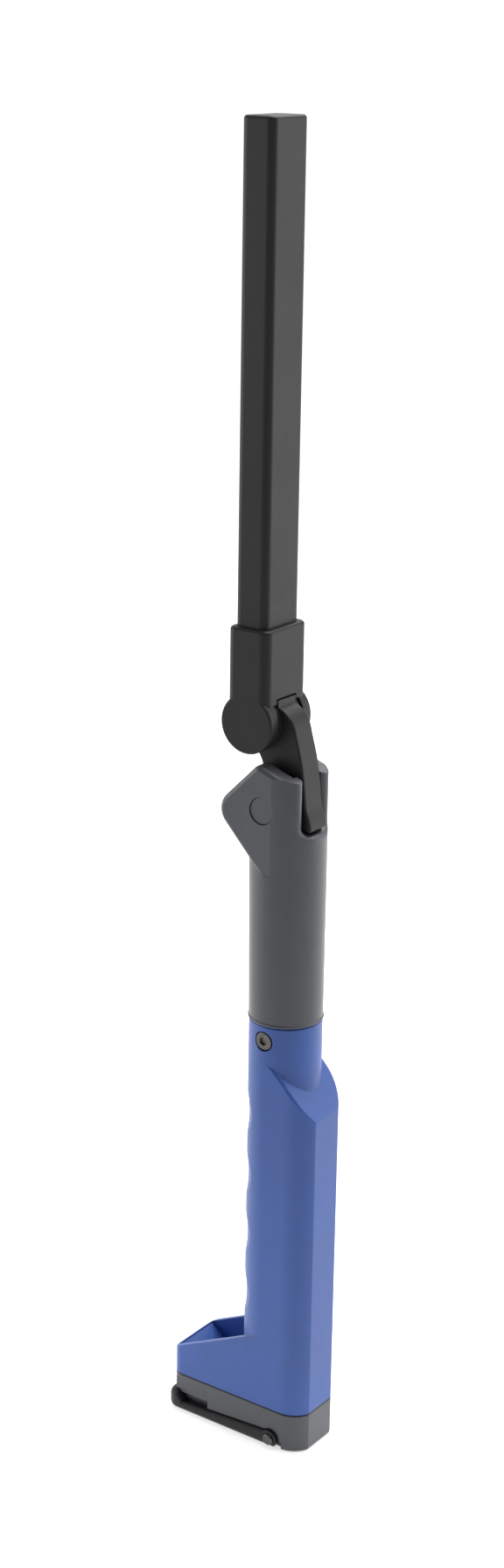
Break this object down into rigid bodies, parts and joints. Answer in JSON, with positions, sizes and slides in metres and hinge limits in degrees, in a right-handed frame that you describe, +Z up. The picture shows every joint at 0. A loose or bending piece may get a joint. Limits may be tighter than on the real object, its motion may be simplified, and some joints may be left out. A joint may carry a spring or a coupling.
{
  "type": "folding inspection lamp",
  "caption": "Slim cordless inspection lamp: lamp bar on a double fold hinge, swivel neck, finger-grooved grip and magnetic foot with a swing-out hook.",
  "frame": {"origin": "on the round neck's axis, in the plane of the foot's underside", "axes": "+Z up along the neck, -Y towards the toe and the light window, X along both fold axes"},
  "size_m": [0.0318, 0.0642, 0.503],
  "materials": {
    "blue_plastic": "fine moulded texture, satin sheen",
    "grey_plastic": "fine moulded texture, satin sheen",
    "black_plastic": "fine moulded texture, satin sheen",
    "white_plastic": "plain moulded",
    "black_rubber": "soft matte",
    "cell_wrap": "shrink sleeve",
    "dark_steel": "black oxide",
    "black_steel": "black oxide, polished crown",
    "zinc_steel": "zinc plated",
    "magnet_steel": "nickel plated",
    "nickel": "nickel plated",
    "heat_sink_metal": "extruded",
    "board_green": "solder mask",
    "board_white": "white solder mask",
    "emitter_yellow": "phosphor",
    "frosted_lens": "frosted translucent"
  },
  "bodies": {
    "handle": {"handle_housing": "blue_plastic", "base_cap": "grey_plastic", "base_magnets": "magnet_steel", "magnet_keeper": "zinc_steel", "base_screws": "dark_steel", "hook_pins": "black_steel", "inner_chassis": "white_plastic", "battery_cell": "cell_wrap", "battery_spring_contact": "nickel", "battery_top_contact": "nickel", "charge_board": "board_green", "charge_socket": "nickel", "driver_board": "board_green", "tact_switch": "black_plastic", "neck_screw": "dark_steel"},
    "hook": {"hanging_hook": "black_plastic"},
    "button": {"power_button": "black_rubber"},
    "port_flap": {"port_cover": "black_rubber"},
    "neck": {"neck_housing": "grey_plastic", "neck_seal_ring": "black_rubber", "lower_pivot_pin": "zinc_steel", "lower_pivot_caps": "grey_plastic", "lower_friction_washers": "zinc_steel"},
    "link": {"hinge_link": "black_plastic"},
    "head": {"head_socket": "black_plastic", "upper_pivot_pin": "zinc_steel", "upper_pivot_cap": "black_plastic", "upper_friction_washers": "zinc_steel", "head_housing": "black_plastic", "head_plug": "white_plastic", "head_screws": "dark_steel", "heat_sink": "heat_sink_metal", "led_board": "board_white", "led_emitters": "emitter_yellow", "lens_gasket": "black_rubber", "led_lens": "frosted_lens"}
  },
  "joints": [
    {"name": "neck_swivel", "type": "hinge", "parent": "handle", "child": "neck", "pos_m": [0, 0, 0.169], "axis": [0, 0, 1], "range_deg": [-90, 90]},
    {"name": "lower_fold", "type": "hinge", "parent": "neck", "child": "link", "pos_m": [0, -0.0028, 0.2606], "axis": [1, 0, 0], "range_deg": [0, 90]},
    {"name": "upper_fold", "type": "hinge", "parent": "link", "child": "head", "pos_m": [0, -0.0113, 0.2913], "axis": [1, 0, 0], "range_deg": [0, 90]},
    {"name": "hook_swing", "type": "hinge", "parent": "handle", "child": "hook", "pos_m": [0, 0.006, 0.004], "axis": [1, 0, 0], "range_deg": [0, 100]},
    {"name": "button_press", "type": "slide", "parent": "handle", "child": "button", "axis": [0, 1, 0], "range_m": [0, 0.0005], "stiffness_N_per_m": 3000},
    {"name": "port_flap_open", "type": "hinge", "parent": "handle", "child": "port_flap", "pos_m": [-0.01335, 0.0045, 0.0282], "axis": [0, -1, 0], "range_deg": [0, 100]}
  ]
}
